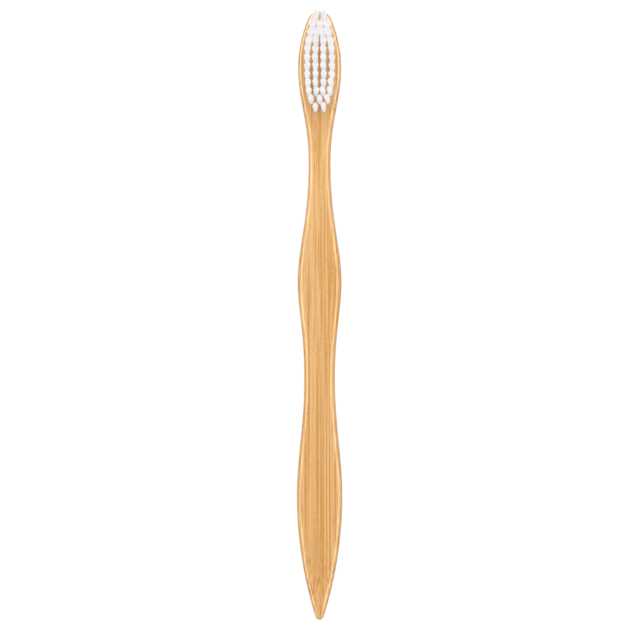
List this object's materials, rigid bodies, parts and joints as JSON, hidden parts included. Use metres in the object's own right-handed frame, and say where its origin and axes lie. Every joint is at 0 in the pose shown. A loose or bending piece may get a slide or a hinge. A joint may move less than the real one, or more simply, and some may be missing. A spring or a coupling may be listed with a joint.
{
  "type": "toothbrush",
  "caption": "Manual toothbrush with a flat waisted bamboo handle milled in one piece and white nylon bristle tufts anchored in its narrow oval head.",
  "frame": {"origin": "middle of the length and width, at the level of the flat back that the brush lies on", "axes": "+Y along the handle towards the head, +Z the way the bristles point, +X to the right seen from the bristle side"},
  "size_m": [0.0142, 0.19, 0.0165],
  "materials": {
    "bamboo": "sanded bamboo with a light satin oil",
    "bristle_nylon": "white nylon filament with rounded tips",
    "anchor_metal": "bare drawn flat wire"
  },
  "bodies": {
    "root": {"handle": "bamboo", "tuft_r01_c1": "bristle_nylon", "tuft_r01_c2": "bristle_nylon", "tuft_r02_c1": "bristle_nylon", "tuft_r02_c2": "bristle_nylon", "tuft_r02_c3": "bristle_nylon", "tuft_r03_c1": "bristle_nylon", "tuft_r03_c2": "bristle_nylon", "tuft_r03_c3": "bristle_nylon", "tuft_r03_c4": "bristle_nylon", "tuft_r04_c1": "bristle_nylon", "tuft_r04_c2": "bristle_nylon", "tuft_r04_c3": "bristle_nylon", "tuft_r04_c4": "bristle_nylon", "tuft_r05_c1": "bristle_nylon", "tuft_r05_c2": "bristle_nylon", "tuft_r05_c3": "bristle_nylon", "tuft_r05_c4": "bristle_nylon", "tuft_r06_c1": "bristle_nylon", "tuft_r06_c2": "bristle_nylon", "tuft_r06_c3": "bristle_nylon", "tuft_r06_c4": "bristle_nylon", "tuft_r07_c1": "bristle_nylon", "tuft_r07_c2": "bristle_nylon", "tuft_r07_c3": "bristle_nylon", "tuft_r07_c4": "bristle_nylon", "tuft_r08_c1": "bristle_nylon", "tuft_r08_c2": "bristle_nylon", "tuft_r08_c3": "bristle_nylon", "tuft_r08_c4": "bristle_nylon", "tuft_r09_c1": "bristle_nylon", "tuft_r09_c2": "bristle_nylon", "tuft_r09_c3": "bristle_nylon", "tuft_r09_c4": "bristle_nylon", "tuft_r10_c1": "bristle_nylon", "tuft_r10_c2": "bristle_nylon", "tuft_r10_c3": "bristle_nylon", "tuft_r10_c4": "bristle_nylon", "tuft_r11_c1": "bristle_nylon", "tuft_r11_c2": "bristle_nylon", "tuft_r11_c3": "bristle_nylon", "tuft_r12_c1": "bristle_nylon", "tuft_r12_c2": "bristle_nylon", "anchor_r01_c1": "anchor_metal", "anchor_r01_c2": "anchor_metal", "anchor_r02_c1": "anchor_metal", "anchor_r02_c2": "anchor_metal", "anchor_r02_c3": "anchor_metal", "anchor_r03_c1": "anchor_metal", "anchor_r03_c2": "anchor_metal", "anchor_r03_c3": "anchor_metal", "anchor_r03_c4": "anchor_metal", "anchor_r04_c1": "anchor_metal", "anchor_r04_c2": "anchor_metal", "anchor_r04_c3": "anchor_metal", "anchor_r04_c4": "anchor_metal", "anchor_r05_c1": "anchor_metal", "anchor_r05_c2": "anchor_metal", "anchor_r05_c3": "anchor_metal", "anchor_r05_c4": "anchor_metal"}
  },
  "joints": []
}
